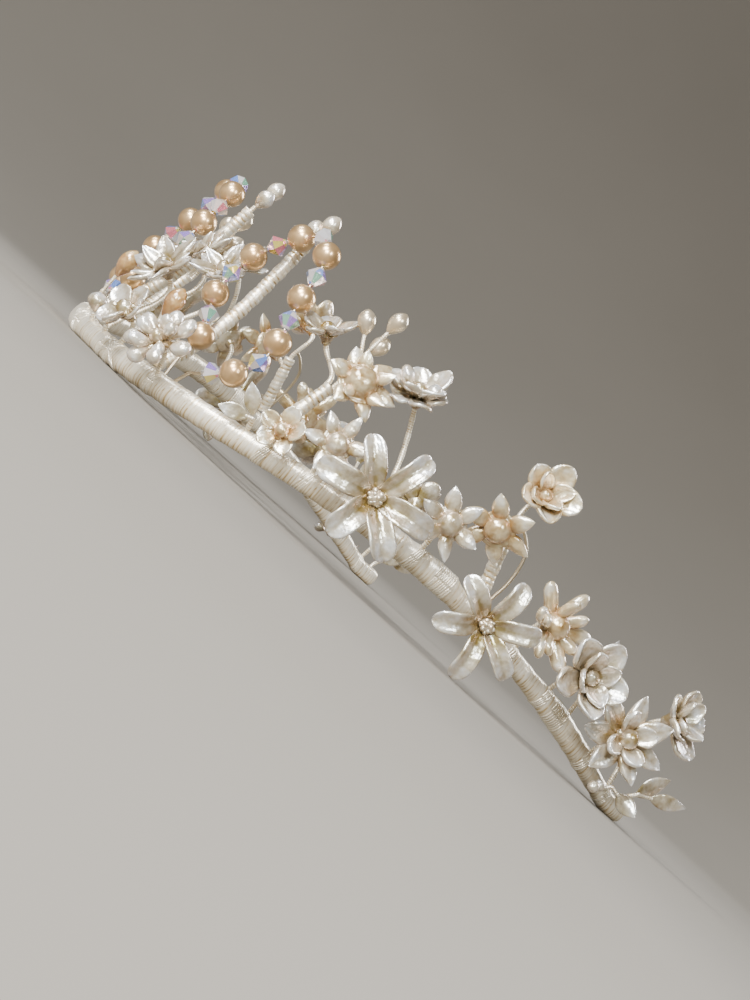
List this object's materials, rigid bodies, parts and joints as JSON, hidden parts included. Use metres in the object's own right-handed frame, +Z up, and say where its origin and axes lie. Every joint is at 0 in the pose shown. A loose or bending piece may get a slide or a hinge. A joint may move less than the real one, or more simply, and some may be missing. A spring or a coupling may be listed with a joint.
{
  "type": "bridal crown",
  "caption": "Open horseshoe hair crown: a thread-bound wire band that carries upright loops of pearls and cut crystals and sprays of waxed blossoms, buds and leaves.",
  "frame": {"origin": "on the flat underside of the band at its front centre, level with the surface it rests on", "axes": "+Z up out of the band towards the loops' tops, +Y from the front centre back to the open ends, +X towards the wearer's left"},
  "size_m": [0.1648, 0.1503, 0.0546],
  "materials": {
    "thread": "ivory silky thread wound closely over wire",
    "pearl": "champagne pearl lacquer, with clear cut crystals between the pearls",
    "wax": "ivory waxed petals with a pearly gloss",
    "peach": "waxed petals stained peach towards the heart",
    "leaf": "thin waxed leaves, buds and drops, partly clear"
  },
  "bodies": {
    "root": {"band": "thread", "centre_star": "wax", "bead_loop_left": "pearl", "bead_loop_right": "pearl", "loop_post_left": "thread", "loop_post_right": "thread", "branch_stem_left": "thread", "branch_stem_right": "thread", "rear_stem_left": "thread", "rear_stem_right": "thread", "front_round_left": "wax", "front_cup_left": "wax", "top_star_left": "wax", "top_star_right": "wax", "pearl_cup_left": "wax", "pearl_cup_right": "wax", "peach_star_left": "peach", "peach_star_right": "peach", "double_cup_left": "wax", "double_cup_right": "wax", "small_cup_left": "peach", "small_cup_right": "peach", "near_star_left": "wax", "near_star_right": "wax", "lily_front_left": "wax", "lily_front_right": "wax", "mid_star_left": "wax", "mid_star_right": "wax", "nodding_star_left": "peach", "nodding_star_right": "peach", "high_cup_left": "peach", "high_cup_right": "peach", "lily_rear_left": "wax", "lily_rear_right": "wax", "rear_star_left": "peach", "rear_star_right": "peach", "low_cup_left": "wax", "low_cup_right": "wax", "end_round_left": "wax", "end_round_right": "wax", "end_cup_left": "wax", "end_cup_right": "wax", "amber_bud_left": "leaf", "amber_bud_right": "leaf", "small_bud_left": "leaf", "small_bud_right": "leaf", "post_buds_left": "leaf", "post_buds_right": "leaf", "stamens_left": "leaf", "stamens_right": "leaf", "side_leaves_left": "leaf", "side_leaves_right": "leaf", "high_leaves_left": "leaf", "high_leaves_right": "leaf", "end_drops_left": "leaf", "end_drops_right": "leaf", "end_leaves_left": "leaf", "end_leaves_right": "leaf"}
  },
  "joints": []
}
